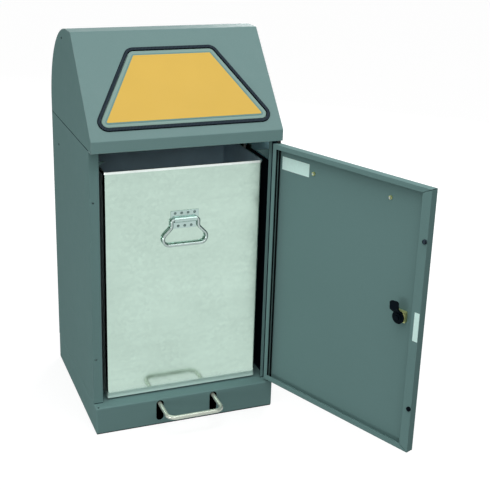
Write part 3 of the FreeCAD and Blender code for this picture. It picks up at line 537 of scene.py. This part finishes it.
GREY_GREEN = (0.135, 0.236, 0.229)
BRIGHT_SHEET = (0.475, 0.615, 0.54)
finishes = {
    "paint": powder_coat("grey_green_coat", GREY_GREEN),
    "flap_paint": powder_coat("pale_flap_coat", (0.24, 0.36, 0.325)),
    "border": powder_coat("teal_border", (0.150, 0.285, 0.278)),
    "yellow": coloured_film("yellow_film", (0.67, 0.44, 0.085)),
    "galvanised": galvanised_sheet("galvanised_sheet", BRIGHT_SHEET),
    "zinc": bright_zinc("bright_zinc", (0.50, 0.55, 0.53), (0.18, 0.30)),
    "steel": plain_metal("plain_steel", (0.42, 0.44, 0.44), (0.28, 0.42)),
    # Its second colour is the painted highlight along the crown.
    "rubber": rubber_profile("black_rubber", (0.002, 0.004, 0.007), (0.026, 0.038, 0.050)),
    "nylon": moulded_plastic("black_nylon", (0.002, 0.003, 0.004)),
    "lock_metal": plain_metal("nickel_plate", (0.62, 0.61, 0.58), (0.14, 0.24)),
    "black": moulded_plastic("black_cam_coat", (0.002, 0.005, 0.008)),
    "brass": plain_metal("plain_brass", (0.50, 0.56, 0.24), (0.26, 0.38), 0.5),
    "sign": label_paper("blank_label", (0.68, 0.93, 0.87)),
}
# Pieces whose finish differs from the rest of their slot
# The carcass coat, painted near-black inside as shade and pale at the right wall's upper end as painted
# light.
carcass_coat = powder_coat("grey_green_carcass", GREY_GREEN, inside=(0.006, 0.013, 0.022))
# The liner's inner plates: dull zinc, with a painted cool shade on their inner faces.
inner_zinc = galvanised_sheet("dull_inner_zinc", (0.58, 0.74, 0.71), 0.05, (0.40, 0.52),
                              inside=(0.46, 0.66, 0.76))
special = {
    "hood_skin": powder_coat("grey_green_hood", GREY_GREEN, sheen=0.3, rough=(0.46, 0.56)),
    "side_left": carcass_coat,
    "side_right": carcass_coat,
    "back_panel": carcass_coat,
    "hood_cheek_left": carcass_coat,
    "hood_cheek_right": carcass_coat,
    # The body's rivet heads are coated near-black: painted shade of the recesses round them.
    "body_rivets": powder_coat("rivet_shade_coat", (0.020, 0.036, 0.036)),
    "door_pins": plain_metal("dark_pin_steel", (0.03, 0.03, 0.03), (0.4, 0.5)),
    "liner_back": inner_zinc,
    "liner_end_left": inner_zinc,
    "liner_end_right": inner_zinc,
    "liner_floor": inner_zinc,
    # Its lowest band carries the painted reflection of the plinth's ledge.
    "liner_front": galvanised_sheet("liner_front_zinc", BRIGHT_SHEET, foot_reflection=(0.60, 0.80, 0.74)),
    # The hinge strip's third colour is a painted highlight along its bead.
    "hinge_strip": moulded_plastic("black_strip", (0.002, 0.003, 0.004), (0.09, 0.15, 0.145)),
    "handle_plate": bright_zinc("handle_zinc", (0.42, 0.55, 0.52), (0.14, 0.24)),
    "handle_rivets": bright_zinc("dark_rivet_zinc", (0.15, 0.21, 0.20)),
    "bail": bright_zinc("bail_zinc", (0.40, 0.48, 0.46), (0.10, 0.18)),
    "pedal_rod": bright_zinc("dull_nickel", (0.53, 0.58, 0.50), (0.20, 0.28), 0.55),
    "liner_rim": bright_zinc("bright_hem", (0.80, 0.88, 0.84)),
}


def dress_cad_nodes():
    for part in frame["record"]["subparts"]:
        node = frame["nodes"][part["node"]]
        material = special.get(part["node"], finishes[part["material_slot"]])
        if not node.material_slots:
            node.data.materials.append(material)
        for slot in node.material_slots:
            slot.material = material


# Blank labels on the door
def stick_label(name, across, heights, y, corner):
    """A thin card with eased corners, stuck on the shut door and swung open with it."""
    thickness = 0.0002
    shape = bmesh.new()
    bmesh.ops.create_cube(shape, size=1.0)
    size = Vector((across[1] - across[0], thickness, heights[1] - heights[0]))
    bmesh.ops.scale(shape, verts=shape.verts, vec=size)
    corners = [e for e in shape.edges if abs((e.verts[0].co - e.verts[1].co).y) > thickness / 2]
    bmesh.ops.bevel(shape, geom=corners, offset=corner, offset_type="OFFSET", affect="EDGES",
                    segments=4, profile=0.5, material=-1)
    middle = Vector((DOOR_HINGE_EDGE - sum(across) / 2, y + thickness / 2, sum(heights) / 2))
    bmesh.ops.translate(shape, verts=shape.verts, vec=middle)
    bmesh.ops.rotate(shape, verts=shape.verts, cent=DOOR_PIN, matrix=Matrix.Rotation(DOOR_SWING, 3, "Z"))
    bmesh.ops.recalc_face_normals(shape, faces=shape.faces)
    mesh = bpy.data.meshes.new(name)
    shape.to_mesh(mesh)
    shape.free()
    label = bpy.data.objects.new(name, mesh)
    scene.collection.objects.link(label)
    mesh.materials.append(finishes["sign"])
    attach(label, "door")


# Return spring
def wind_return_spring():
    """A coil between the push rod's collar and its upper guide, wound at its resting length; the real one
    shortens as the rod rises, this one stays fixed.
    """
    low, high = (Vector(corner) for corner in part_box("return_spring"))
    middle = (low + high) / 2
    coil = (high.x - low.x) / 2 - SPRING_WIRE
    climb = high.z - low.z - 2 * SPRING_WIRE
    steps = SPRING_TURNS * SPRING_STEPS
    first = Vector((middle.x + coil, middle.y, low.z + SPRING_WIRE))
    shape = bmesh.new()
    bmesh.ops.create_circle(shape, cap_ends=False, segments=10, radius=SPRING_WIRE,
                            matrix=Matrix.Translation(first) @ Matrix.Rotation(math.pi / 2, 4, "X"))
    bmesh.ops.spin(shape, geom=shape.verts[:] + shape.edges[:], cent=(middle.x, middle.y, 0), axis=(0, 0, 1),
                   dvec=(0, 0, climb / steps), angle=2 * math.pi * SPRING_TURNS, steps=steps)
    bmesh.ops.holes_fill(shape, edges=shape.edges)
    bmesh.ops.recalc_face_normals(shape, faces=shape.faces)
    mesh = bpy.data.meshes.new("wound_spring")
    shape.to_mesh(mesh)
    shape.free()
    mesh.shade_smooth()
    spring = bpy.data.objects.new("wound_spring", mesh)
    scene.collection.objects.link(spring)
    mesh.materials.append(finishes["steel"])
    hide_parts("return_spring")
    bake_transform(spring)


stand_camera()
hang_studio_light()
hang_lamps()
lay_floor()
dress_cad_nodes()
stick_label("door_label", (0.013, 0.088), (0.5535, 0.581), DOOR_PANEL_Y, 0.0012)
stick_label("lip_label", (0.3835, 0.3948), (0.3065, 0.3652), DOOR_LIP_Y, 0.0008)
wind_return_spring()
